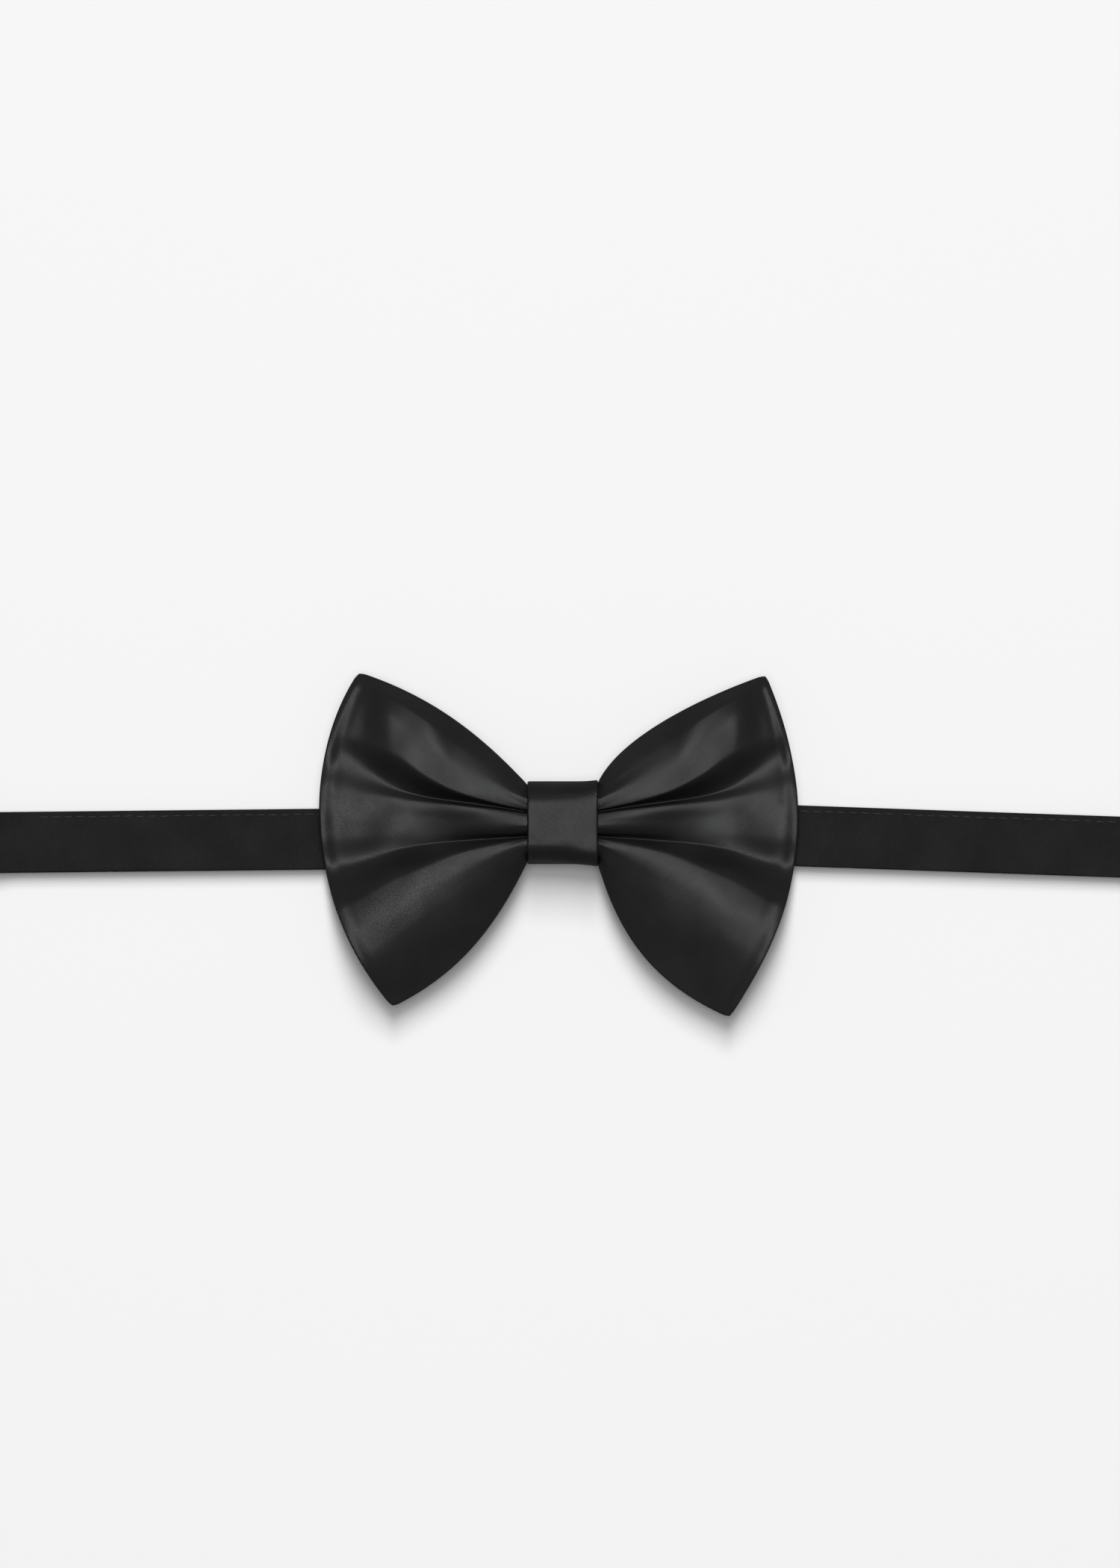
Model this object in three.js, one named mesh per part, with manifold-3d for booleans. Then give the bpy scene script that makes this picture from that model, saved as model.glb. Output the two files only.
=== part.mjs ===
// A pre-tied satin bow tie laid on a flat surface with its adjustable neck band spread out.
// Millimetres. +X runs to the bow's right-hand wing as seen from the front, +Y to its top and
// +Z out of its face. The origin is the middle of the knot's back, which rests on the surface.
import * as THREE from "three";
import { mergeVertices } from "three/addons/utils/BufferGeometryUtils.js";
import Module from "manifold-3d";

const wasm = await Module();
wasm.setup();

// ---------------------------------------------------------------- driving dimensions
const GAP = 0.3; // air left between pieces that touch on the real tie

// The neck band: satin folded round a thin interlining and edge-stitched.
const BAND_WIDTH = 15.2;
const BAND_THICK = 0.8;
const KNOT_BAND_Y = -0.9; // middle of the band where it passes through the knot
const STRAIGHT_HALF = 29; // the band runs straight this far each side of the knot's middle
const LANDING = 60; // from here out the band lies on the surface
const FOLD_AT = 80; // the band can fold either way at this distance from the bow's middle
const FOLD_GAP = 0.9; // leaves room for a square fold
const FOLD_Y = { left: -4.35, right: -4.05 }; // middle of the band there
const DROOP = { left: 0.6, right: 2.0 }; // degrees by which each side slopes down outwards

// Distances along the band from the bow's middle.
const EYE_BAR = 156;
const SLIDER_BAR = 148;
const HOOK_BAR = 225;

// The knot, wrapped round the waist of the bow.
const KNOT_WIDTH = 17.5;
const KNOT_HEIGHT = 20.4;
const KNOT_DEEP = 13.6;
const WRAP_THICK = 0.9;
const WRAP_CORNER = 3.6; // radius of the wrap's middle line
const WRAP_LAP = 5; // each end of the wrap passes the middle by this much
const PAD_THICK = 0.6;
const THREAD = 0.5;
const THREAD_TURNS = 4;

// The bow: two satin panels on a stiff interlining, pleated at the waist.
const SATIN = 0.6;
const INTERLINING = 0.5;
const WAIST_HALF = 7.6; // half the bow's height inside the thread
const MOUTH_HALF = 9.3; // half its height where it leaves the knot
const THREAD_HALF = 2.5; // the waist is straight this far from the middle
const COLUMNS = 9; // spans of each wing from the knot to the outside

// The outline of each wing, from the knot's mouth along the top and bottom edges to the tips.
const WINGS = {
  left: {
    topTip: [-50.7, 37.4],
    topHandles: [[-19.5, 21], [-31.5, 31.3]],
    bottomTip: [-42.3, -45.9],
    bottomHandles: [[-16, -24.7], [-24.6, -37.4]],
    outerHandles: [[-64, -20.4], [-66, 15]],
  },
  right: {
    topTip: [50.3, 36.9],
    topHandles: [[13.2, 21.3], [35.5, 31.8]],
    bottomTip: [41.6, -48.5],
    bottomHandles: [[12.8, -23.6], [19, -39]],
    outerHandles: [[57.2, -24.7], [66.3, 0.5]],
  },
};

// How each wing is pleated: the lines that run outwards from the knot, with their Y and their
// height at four distances from the bow's middle.
const STATIONS = [9, 26, 42, 60];
const BOTTOM_EDGE = { z: [7.6, 6, 4.9, 4.2] };
const BOTTOM_CREST = { y: [-6, -13, -21, -31], z: [10.7, 12.5, 11.4, 8.2] };
const LOWER_GROOVE = { y: [-3.5, -4.6, -6.2, -8], z: [6.8, 6.8, 6.5, 5.4] };
const MIDDLE_CREST = { y: [-0.4, 0.6, 1.8, 4.6], z: [10.3, 10.4, 9.7, 7.6] };
const UPPER_GROOVE = { y: [2.7, 5.2, 8.2, 14.8], z: [6.8, 6.9, 6.7, 5.7] };
const TOP_CREST = { y: [5.6, 14, 24, 29], z: [10.7, 12.9, 10.6, 6.2] };
const TOP_EDGE = { z: [7.6, 7.1, 6.3, 5.6] };
const FULLNESS = 0.62; // how high a pleat still stands halfway down its side

// Metal fittings.
const WIRE = 1.6; // thickness of the hook's and the eye's wire
const FRAME_CORNER = 1.6; // radius of the wire's middle line at the corners of both
const FITTING_HALF = 9.7; // half the width of each fitting
const SLOT_HALF = 8.1; // half the width of the slots that the band runs through
const EYE_REACH = 7.4; // between the middles of the eye's two long bars
const HOOK_REACH = 6;
const TONGUE_WIDTH = 9;
const TONGUE_THICK = 1.2;
const TONGUE_STRAIGHT = 6.5;
const TONGUE_CURL = 1.8; // radius of the curl's middle line
const SLIDER_THICK = 1.2;
const SLIDER_BAR_HALF = 0.9; // half the width of its middle bar
const SLIDER_SLOT_END = 3.7; // where its slots end and its outer bars begin
const SLIDER_HALF = 5.3;
const TAIL = 12; // length of the sewn tail at the eye
const TACK_WIDE = 11;
const TACK_LONG = 1.4;
const TACK_THICK = 0.4;

// ---------------------------------------------------------------- materials
const finish = (color, roughness, metalness) =>
  new THREE.MeshStandardMaterial({ color, roughness, metalness });
const BOW_SATIN = finish(0x1c1c1d, 0.42, 0);
const KNOT_SATIN = finish(0x262627, 0.4, 0);
const BAND_SATIN = finish(0x1a1a1a, 0.55, 0);
const BACKING = finish(0x3a3a3a, 0.95, 0);
const THREAD_BLACK = finish(0x161616, 0.7, 0);
const NICKEL = finish(0xb9bbbe, 0.25, 1);

const model = new THREE.Group();

function piece(name, geometry, material, parent = model) {
  const mesh = new THREE.Mesh(geometry, material);
  mesh.name = name;
  parent.add(mesh);
  return mesh;
}

// ---------------------------------------------------------------- small tools
const mix = (a, b, t) => a + (b - a) * t;
const clamp01 = (t) => Math.min(1, Math.max(0, t));
const smooth = (t) => clamp01(t) ** 2 * (3 - 2 * clamp01(t));
const range = (n) => Array.from({ length: n + 1 }, (_, i) => i / n);

/** Points of an arc round (x, y), from angle a to angle b in degrees. */
function arc(x, y, radius, a, b, steps = 6) {
  return range(steps).map((t) => {
    const angle = THREE.MathUtils.degToRad(mix(a, b, t));
    return [x + radius * Math.cos(angle), y + radius * Math.sin(angle)];
  });
}

/** The outline of a strip of one thickness along a line of points. */
function stripShape(line, thick) {
  const normal = (a, b) => {
    const long = Math.hypot(b[0] - a[0], b[1] - a[1]);
    return [-(b[1] - a[1]) / long, (b[0] - a[0]) / long];
  };
  const side = (sign) =>
    line.map((p, i) => {
      const m = normal(line[Math.max(i - 1, 0)], line[Math.max(i, 1)]);
      const n = normal(line[Math.min(i, line.length - 2)], line[Math.min(i + 1, line.length - 1)]);
      const spread = (1 + m[0] * n[0] + m[1] * n[1]) / 2; // mitres the corner
      const reach = (sign * thick) / 4 / spread;
      return new THREE.Vector2(p[0] + (m[0] + n[0]) * reach, p[1] + (m[1] + n[1]) * reach);
    });
  return new THREE.Shape([...side(-1), ...side(1).reverse()]);
}

/** A band with its profile drawn as [along, height] and its width along Y. */
function bandAlong(line, width = BAND_WIDTH, thick = BAND_THICK) {
  const geometry = new THREE.ExtrudeGeometry(stripShape(line, thick), {
    depth: width,
    bevelEnabled: false,
  });
  return geometry.rotateX(Math.PI / 2).translate(0, width / 2, 0);
}

/** A flat plate drawn in XY, standing on height z. */
function plate(shape, thick, z) {
  return new THREE.ExtrudeGeometry(shape, {
    depth: thick,
    bevelEnabled: false,
    curveSegments: 4,
  }).translate(0, 0, z);
}

function roundedRectangle(path, x0, x1, half, radius) {
  path.moveTo(x0 + radius, -half);
  path.lineTo(x1 - radius, -half);
  path.quadraticCurveTo(x1, -half, x1, -half + radius);
  path.lineTo(x1, half - radius);
  path.quadraticCurveTo(x1, half, x1 - radius, half);
  path.lineTo(x0 + radius, half);
  path.quadraticCurveTo(x0, half, x0, half - radius);
  path.lineTo(x0, -half + radius);
  path.quadraticCurveTo(x0, -half, x0 + radius, -half);
  return path;
}

/** Round wire along a line of points that turns about the direction "across". */
function wire(points, thick, across, closed) {
  const sides = 8;
  const count = points.length;
  const positions = [];
  const index = [];
  points.forEach((p, i) => {
    const before = closed ? (i + count - 1) % count : Math.max(i - 1, 0);
    const after = closed ? (i + 1) % count : Math.min(i + 1, count - 1);
    const forward = points[after].clone().sub(points[before]).normalize();
    const out = new THREE.Vector3().crossVectors(forward, across).normalize();
    const up = new THREE.Vector3().crossVectors(out, forward);
    for (let k = 0; k < sides; k++) {
      const turn = (2 * Math.PI * (k + 0.5)) / sides;
      const at = p.clone();
      at.addScaledVector(out, (thick / 2) * Math.cos(turn));
      at.addScaledVector(up, (thick / 2) * Math.sin(turn));
      positions.push(...at);
      if (!closed && i === count - 1) continue;
      const next = ((i + 1) % count) * sides;
      const other = (k + 1) % sides;
      index.push(i * sides + k, next + k, i * sides + other);
      index.push(i * sides + other, next + k, next + other);
    }
  });
  const last = (count - 1) * sides;
  for (let k = 1; !closed && k + 1 < sides; k++)
    index.push(0, k, k + 1, last, last + k + 1, last + k);
  return new THREE.BufferGeometry()
    .setAttribute("position", new THREE.Float32BufferAttribute(positions, 3))
    .setIndex(index);
}

/** A closed wire frame round a rounded rectangle in XY. */
function wireFrame(x0, x1, half, z) {
  const outline = roundedRectangle(new THREE.Path(), x0, x1, half, FRAME_CORNER).getPoints(5);
  outline.pop();
  const points = outline.map((p) => new THREE.Vector3(p.x, p.y, z));
  return wire(points, WIRE, new THREE.Vector3(0, 0, 1), true);
}

function solid(geometry) {
  const bare = geometry.clone();
  bare.deleteAttribute("normal");
  bare.deleteAttribute("uv");
  const merged = mergeVertices(bare, 1e-4);
  return new wasm.Manifold(
    new wasm.Mesh({
      numProp: 3,
      vertProperties: merged.attributes.position.array,
      triVerts: new Uint32Array(merged.index.array),
    }),
  );
}

function joined(...geometries) {
  const mesh = geometries.map(solid).reduce((a, b) => a.add(b)).getMesh();
  return new THREE.BufferGeometry()
    .setAttribute("position", new THREE.BufferAttribute(mesh.vertProperties, 3))
    .setIndex(new THREE.BufferAttribute(mesh.triVerts, 1));
}

// ---------------------------------------------------------------- the bow's two wings
const bezier = (a, [b, c], d) =>
  new THREE.CubicBezierCurve(...[a, b, c, d].map((p) => new THREE.Vector2(...p)));

function wingCurves(wing) {
  const mouth = (Math.sign(wing.topTip[0]) * KNOT_WIDTH) / 2;
  return {
    top: bezier([mouth, MOUTH_HALF], wing.topHandles, wing.topTip),
    bottom: bezier([mouth, -MOUTH_HALF], wing.bottomHandles, wing.bottomTip),
    outer: bezier(wing.bottomTip, wing.outerHandles, wing.topTip),
  };
}

/** A point of a wing in XY: u runs from the knot's mouth to the outside, v from bottom to top. */
function wingPoint({ top, bottom, outer }, u, v) {
  const across = (v + 1) / 2;
  const edge = bottom.getPoint(u).lerp(top.getPoint(u), across);
  const chord = bottom.getPoint(1).lerp(top.getPoint(1), across);
  const bulge = outer.getPoint(across).sub(chord);
  return edge.addScaledVector(bulge, u ** 1.4);
}

/** A pleat line's value at a distance from the bow's middle. */
function atStation(values, x) {
  const k = Math.min(STATIONS.filter((s) => s <= x).length, STATIONS.length - 1) || 1;
  const t = (x - STATIONS[k - 1]) / (STATIONS[k] - STATIONS[k - 1]);
  return mix(values[k - 1], values[k], clamp01(t));
}

/** One column of the pleated front, as [share of the way up, height] from bottom to top. */
function pleats(curves, u) {
  const x = Math.abs(wingPoint(curves, u, 0).x);
  const bottom = wingPoint(curves, u, -1).y;
  const top = wingPoint(curves, u, 1).y;
  const share = (y) => (2 * (y - bottom)) / (top - bottom) - 1;
  const inner = [BOTTOM_CREST, LOWER_GROOVE, MIDDLE_CREST, UPPER_GROOVE, TOP_CREST];
  const lines = [
    [-1, atStation(BOTTOM_EDGE.z, x)],
    ...inner.map(({ y, z }) => [share(atStation(y, x)), atStation(z, x)]),
    [1, atStation(TOP_EDGE.z, x)],
  ];
  return lines.flatMap(([v, z], i) => {
    if (i === 0) return [[v, z]];
    const [below, zBelow] = lines[i - 1];
    const crestShare = z > zBelow ? FULLNESS : 1 - FULLNESS;
    return [[mix(below, v, 0.5), mix(zBelow, z, crestShare)], [v, z]];
  });
}

/**
 * One layer of the bow, its top face at a depth below the front of the bow. Its edge is as thick
 * as the seam allowance turned in there, or it stops one span short of the edge.
 */
function bowLayer(depth, thick, { edgeThick = thick, short = 0 } = {}) {
  const curves = { left: wingCurves(WINGS.left), right: wingCurves(WINGS.right) };
  const out = range(COLUMNS).slice(0, COLUMNS + 1 - short);
  const trim = (column) => column.slice(short, column.length - short);
  const wing = (side) => (u) =>
    trim(pleats(side, u)).map(([v, z]) => {
      const p = wingPoint(side, u, v);
      return [p.x, p.y, z - depth];
    });
  const waist = (x) =>
    trim(pleats(curves.right, 0)).map(([v, z]) => [x, v * WAIST_HALF, z - depth]);
  const columns = [
    ...out.map(wing(curves.left)).reverse(),
    ...[-THREAD_HALF, 0, THREAD_HALF].map(waist),
    ...out.map(wing(curves.right)),
  ];
  const rows = columns[0].length;
  const top = columns.flat();
  const under = top.length;
  const index = [];
  const quad = (a, b, c, d) => index.push(a, b, c, a, c, d);
  for (let i = 0; i + 1 < columns.length; i++)
    for (let j = 0; j + 1 < rows; j++) {
      const a = i * rows + j;
      quad(a, a + rows, a + rows + 1, a + 1);
      quad(under + a, under + a + 1, under + a + rows + 1, under + a + rows);
    }
  const rim = [];
  for (let i = 0; i < columns.length; i++) rim.push(i * rows);
  for (let j = 1; j < rows; j++) rim.push((columns.length - 1) * rows + j);
  for (let i = columns.length - 2; i >= 0; i--) rim.push(i * rows + rows - 1);
  for (let j = rows - 2; j > 0; j--) rim.push(j);
  rim.forEach((a, i) => {
    const b = rim[(i + 1) % rim.length];
    quad(b, a, under + a, under + b);
  });
  const edge = new Set(rim);
  const bottom = top.map(([x, y, z], i) => [x, y, z - (edge.has(i) ? edgeThick : thick)]);
  return new THREE.BufferGeometry()
    .setAttribute("position", new THREE.Float32BufferAttribute([...top, ...bottom].flat(), 3))
    .setIndex(index);
}

const liningDepth = SATIN + GAP;
const backDepth = liningDepth + INTERLINING + GAP;
piece("bow_front_panel", bowLayer(0, SATIN, { edgeThick: backDepth - GAP }), BOW_SATIN);
piece("bow_interlining", bowLayer(liningDepth, INTERLINING, { short: 1 }), BACKING);
piece("bow_back_panel", bowLayer(backDepth, SATIN), BOW_SATIN);

// ---------------------------------------------------------------- the knot
/** The wrap starts behind the band, goes round the front and laps over its own start. */
function knotWrapLine() {
  const half = (KNOT_HEIGHT - WRAP_THICK) / 2;
  const front = KNOT_DEEP - WRAP_THICK / 2;
  const lapped = WRAP_THICK / 2;
  const under = lapped + WRAP_THICK + GAP;
  const side = half - WRAP_CORNER;
  return [
    [-WRAP_LAP, under],
    ...arc(side, under + WRAP_CORNER, WRAP_CORNER, -90, 0),
    ...arc(side, front - WRAP_CORNER, WRAP_CORNER, 0, 90),
    ...arc(-side, front - WRAP_CORNER, WRAP_CORNER, 90, 180),
    ...arc(-side, lapped + WRAP_CORNER, WRAP_CORNER, 180, 270),
    [WRAP_LAP, lapped],
  ];
}

function knotWrap() {
  const shape = stripShape(knotWrapLine(), WRAP_THICK);
  const geometry = new THREE.ExtrudeGeometry(shape, { depth: KNOT_WIDTH, bevelEnabled: false });
  // The profile's first axis goes to Y and its second to Z.
  return geometry.rotateX(Math.PI / 2).rotateZ(Math.PI / 2).translate(-KNOT_WIDTH / 2, 0, 0);
}

/** Thread wound round the pleated waist. */
function gatherThread() {
  const half = WAIST_HALF + GAP + THREAD / 2;
  const low = LOWER_GROOVE.z[0] - backDepth - SATIN - GAP - THREAD / 2;
  const high = TOP_CREST.z[0] + GAP + THREAD / 2;
  const corner = 2;
  const steps = 3;
  const turn = [
    ...arc(half - corner, low + corner, corner, -90, 0, steps),
    ...arc(half - corner, high - corner, corner, 0, 90, steps),
    ...arc(-half + corner, high - corner, corner, 90, 180, steps),
    ...arc(-half + corner, low + corner, corner, 180, 270, steps),
  ];
  const pitch = THREAD + GAP;
  const points = [];
  for (let n = 0; n < THREAD_TURNS; n++)
    turn.forEach(([y, z], i) => {
      const x = (n + i / turn.length - THREAD_TURNS / 2) * pitch;
      points.push(new THREE.Vector3(x, y, z));
    });
  return wire(points, THREAD, new THREE.Vector3(1, 0, 0), false);
}

const padTop = KNOT_DEEP - WRAP_THICK - GAP;
const padShape = roundedRectangle(new THREE.Shape(), -8, 8, 6.2, 1.5);
piece("knot_wrap", knotWrap(), KNOT_SATIN);
piece("knot_pad", plate(padShape, PAD_THICK, padTop - PAD_THICK), BACKING);
piece("gather_thread", gatherThread(), THREAD_BLACK);

// ---------------------------------------------------------------- the neck band's middle
const LIE = BAND_THICK / 2; // height of the band's middle where it lies on the surface
const THROUGH_KNOT = 2 * (WRAP_THICK + GAP) + LIE;

function bandCentre() {
  const end = FOLD_AT - FOLD_GAP / 2;
  const ramp = range(8).map((t) => mix(STRAIGHT_HALF, LANDING, t));
  const outwards = (x) => smooth((Math.abs(x) - STRAIGHT_HALF) / (LANDING - STRAIGHT_HALF));
  const half = [...ramp, end];
  const stations = [...half.map((x) => -x).reverse(), ...half];
  const geometry = bandAlong(stations.map((x) => [x, mix(THROUGH_KNOT, LIE, outwards(x))]));
  const at = geometry.attributes.position;
  for (let i = 0; i < at.count; i++) {
    const x = at.getX(i);
    const side = x < 0 ? "left" : "right";
    const slope = Math.tan(THREE.MathUtils.degToRad(DROOP[side]));
    const line = FOLD_Y[side] + slope * (FOLD_AT - Math.abs(x));
    at.setY(i, at.getY(i) + mix(KNOT_BAND_Y, line, outwards(x)));
  }
  return geometry;
}
piece("band_centre", bandCentre(), BAND_SATIN);

// ---------------------------------------------------------------- the two sides of the band
// Each side is drawn along its own +X, outwards, with 0 at the bow's middle.
function bandSide(y, droop, turned) {
  const pivot = new THREE.Group();
  const along = new THREE.Group();
  pivot.position.set(turned ? -FOLD_AT : FOLD_AT, y, 0);
  pivot.rotation.z = THREE.MathUtils.degToRad(turned ? 180 + droop : -droop);
  along.position.x = -FOLD_AT;
  pivot.add(along);
  model.add(pivot);
  return along;
}
const left = bandSide(FOLD_Y.left, DROOP.left, true);
const right = bandSide(FOLD_Y.right, DROOP.right, false);
const START = FOLD_AT + FOLD_GAP / 2;

const UPPER = LIE + BAND_THICK + GAP; // height of the upper of two plies
const LOOP = WIRE / 2 + GAP + BAND_THICK / 2; // radius of the band's fold round a wire
const BAR_HEIGHT = LIE + LOOP;

/** The band's fold round a wire at x: in along the upper ply and back along the lower. */
const foldRound = (x) => [
  [x - 12, UPPER],
  [x - 8, mix(UPPER, BAR_HEIGHT + LOOP, 0.15)],
  [x - 3, mix(UPPER, BAR_HEIGHT + LOOP, 0.85)],
  ...arc(x, BAR_HEIGHT, LOOP, 90, -90, 8),
];

piece(
  "band_left",
  bandAlong([
    [START, LIE],
    [EYE_BAR - 22, LIE],
    [EYE_BAR - 18, LIE + 0.2],
    [EYE_BAR - 14, UPPER],
    ...foldRound(EYE_BAR),
    [EYE_BAR - TAIL, LIE],
  ]),
  BAND_SATIN,
  left,
);

function barTack(x, height) {
  const shape = roundedRectangle(new THREE.Shape(), x, x + TACK_LONG, TACK_WIDE / 2, 0.5);
  return plate(shape, TACK_THICK, height);
}
piece("eye_bar_tack", barTack(EYE_BAR - TAIL + 1.5, UPPER + LIE + 2 * GAP), THREAD_BLACK, left);

piece(
  "eye_ring",
  wireFrame(EYE_BAR, EYE_BAR + EYE_REACH, FITTING_HALF - WIRE / 2, BAR_HEIGHT),
  NICKEL,
  left,
);

// ---------------------------------------------------------------- the slider
const SLIDER_HEIGHT = UPPER + LIE + GAP; // underside of the slider
const sliderMiddle = SLIDER_HEIGHT + SLIDER_THICK / 2;
const endOut = SLIDER_BAR_HALF + GAP + LIE; // the sewn end's middle line beside the middle bar
const endUp = SLIDER_THICK / 2 + GAP + LIE; // and above and below it
const weaveOut = endOut + LIE + GAP + LIE; // the running band's middle line in the slots
const weaveTop = sliderMiddle + endUp + BAND_THICK + GAP;
const BEND = 0.7; // radius of the tight bends' middle line

function sliderPlate() {
  const shape = roundedRectangle(new THREE.Shape(), -SLIDER_HALF, SLIDER_HALF, FITTING_HALF, 1.4);
  for (const sign of [-1, 1]) {
    const ends = [sign * SLIDER_BAR_HALF, sign * SLIDER_SLOT_END].sort((a, b) => a - b);
    shape.holes.push(roundedRectangle(new THREE.Path(), ...ends, SLOT_HALF, 0.4));
  }
  return plate(shape, SLIDER_THICK, SLIDER_HEIGHT).translate(SLIDER_BAR, 0, 0);
}

/** The running band, up through one slot, over the middle bar and down through the other. */
function bandWeave() {
  const x = SLIDER_BAR;
  return [
    [x - 8, LIE],
    [x - weaveOut - 2.2, LIE],
    [x - weaveOut - 0.9, LIE + 0.35],
    ...arc(x - weaveOut - 1, LIE + 1.5, 1, -45, 0, 4),
    ...arc(x - weaveOut + BEND, weaveTop - BEND, BEND, 180, 90, 4),
    ...arc(x + weaveOut - BEND, weaveTop - BEND, BEND, 90, 0, 4),
    ...arc(x + weaveOut + 1.1, UPPER + 1.1, 1.1, 180, 270, 5),
    [x + 8, UPPER],
  ];
}

/** The band's other end, round the middle bar and tacked down onto itself. */
function bandEnd() {
  const x = SLIDER_BAR;
  const low = sliderMiddle - endUp;
  const high = sliderMiddle + endUp;
  return [
    [x + 8, LIE],
    [x + 3.8, LIE],
    [x + 3, LIE + 0.25],
    [x + 2.1, low - 0.25],
    [x + 1.6, low],
    ...arc(x - endOut + BEND, low + BEND, BEND, 270, 180, 4),
    ...arc(x - endOut + BEND, high - BEND, BEND, 180, 90, 4),
    ...arc(x + endOut - BEND, high - BEND, BEND, 90, 0, 4),
    [x + endOut, low + BAND_THICK + 0.1],
  ];
}

piece(
  "band_right_run",
  bandAlong([[START, LIE], [SLIDER_BAR - 8 - GAP, LIE]]),
  BAND_SATIN,
  right,
);
piece("slider_plate", sliderPlate(), NICKEL, right);
piece("band_slider_weave", bandAlong(bandWeave()), BAND_SATIN, right);
piece("band_sewn_end", bandAlong(bandEnd()), BAND_SATIN, right);
piece("slider_bar_tack", barTack(SLIDER_BAR + 0.2, GAP), THREAD_BLACK, right);

// ---------------------------------------------------------------- the hook and the band's loop
piece(
  "band_return_loop",
  bandAlong([
    [SLIDER_BAR + 8 + GAP, UPPER],
    ...foldRound(HOOK_BAR),
    [SLIDER_BAR + 8 + GAP, LIE],
  ]),
  BAND_SATIN,
  right,
);

/** A wire frame for the band with a tongue that curls up and back to catch the eye. */
function hook() {
  const frame = wireFrame(HOOK_BAR, HOOK_BAR + HOOK_REACH, FITTING_HALF - WIRE / 2, BAR_HEIGHT);
  const start = HOOK_BAR + HOOK_REACH;
  const curl = start + TONGUE_STRAIGHT;
  const tongue = [
    [start, BAR_HEIGHT],
    ...arc(curl, BAR_HEIGHT + TONGUE_CURL, TONGUE_CURL, -90, 90, 10),
    [curl - 3, BAR_HEIGHT + 2 * TONGUE_CURL - 0.2],
    [curl - 4.6, BAR_HEIGHT + 2 * TONGUE_CURL + 0.5],
  ];
  return joined(frame, bandAlong(tongue, TONGUE_WIDTH, TONGUE_THICK));
}
piece("hook", hook(), NICKEL, right);

export default model;
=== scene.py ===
"""Looks for a pre-tied black satin bow tie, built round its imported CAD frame."""

import math
import random

import bmesh
import bpy
import numpy as np
from mathutils import Matrix, Vector, noise


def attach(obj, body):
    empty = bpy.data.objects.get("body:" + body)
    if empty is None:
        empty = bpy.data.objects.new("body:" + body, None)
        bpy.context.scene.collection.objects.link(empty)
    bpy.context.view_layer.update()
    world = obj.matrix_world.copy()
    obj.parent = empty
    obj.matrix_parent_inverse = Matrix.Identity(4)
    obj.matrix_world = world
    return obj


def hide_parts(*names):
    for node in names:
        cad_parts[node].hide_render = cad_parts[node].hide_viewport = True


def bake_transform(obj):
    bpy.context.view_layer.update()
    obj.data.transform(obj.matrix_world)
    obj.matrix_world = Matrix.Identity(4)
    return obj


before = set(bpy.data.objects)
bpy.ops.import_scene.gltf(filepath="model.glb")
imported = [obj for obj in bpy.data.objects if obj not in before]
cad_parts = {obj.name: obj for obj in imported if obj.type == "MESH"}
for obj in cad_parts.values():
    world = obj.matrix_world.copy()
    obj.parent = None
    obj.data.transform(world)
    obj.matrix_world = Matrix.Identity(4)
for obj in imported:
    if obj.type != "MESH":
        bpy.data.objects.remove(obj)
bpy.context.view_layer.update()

MM = 0.001

# ------------------------------------------------------------------ sizes, in millimetres
# The outlines of the wings are those of the CAD panels.
WINGS = {
    "left": {
        "top_tip": (-50.7, 37.4),
        "top_handles": ((-19.5, 21.0), (-31.5, 31.3)),
        "bottom_tip": (-42.3, -45.9),
        "bottom_handles": ((-16.0, -24.7), (-24.6, -37.4)),
        "outer_handles": ((-64.0, -20.4), (-66.0, 15.0)),
    },
    "right": {
        "top_tip": (50.3, 36.9),
        "top_handles": ((13.2, 21.3), (35.5, 31.8)),
        "bottom_tip": (41.6, -48.5),
        "bottom_handles": ((12.8, -23.6), (19.0, -39.0)),
        "outer_handles": ((57.2, -24.7), (66.3, 0.5)),
    },
}
KNOT_HALF = 8.75
MOUTH_HALF = 9.3
WING_LONG = 52  # from the knot to the outer edge
WING_FLARE = 32  # how much more each wing reaches up and down at its outer edge than at the knot
WAIST_HALF = 7.6
PANEL_THICK = 0.45
EDGE_ROLL = (0.42, 0.9)  # how far the turned edge reaches out and down, all round the bow
EDGE_BULGE = 1.4  # the higher, the later a wing takes on its outer edge's curve, going outwards
BLUNT = 0.35  # each wing's corners are drawn in by this much
BLUNT_REACH = 2  # over this distance from the tip
LINING_THICK = 0.3
LINING_INSET = 1.6  # how far inside the bow's outline the lining ends
LINING_DROP = 0.55  # the lining lies this far under the front
BACK_INSET = 0.9  # and the back
BACK_DROP = 0.95  # the back lies this far under the front at its edge
BACK_GAP = 0.25  # and this much further under it inside
BACK_SLACK = 0.4  # the share of each pleat's height that the back doesn't follow
BACK_REACH = 8  # distance from its edge at which the back hangs free of the front

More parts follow.
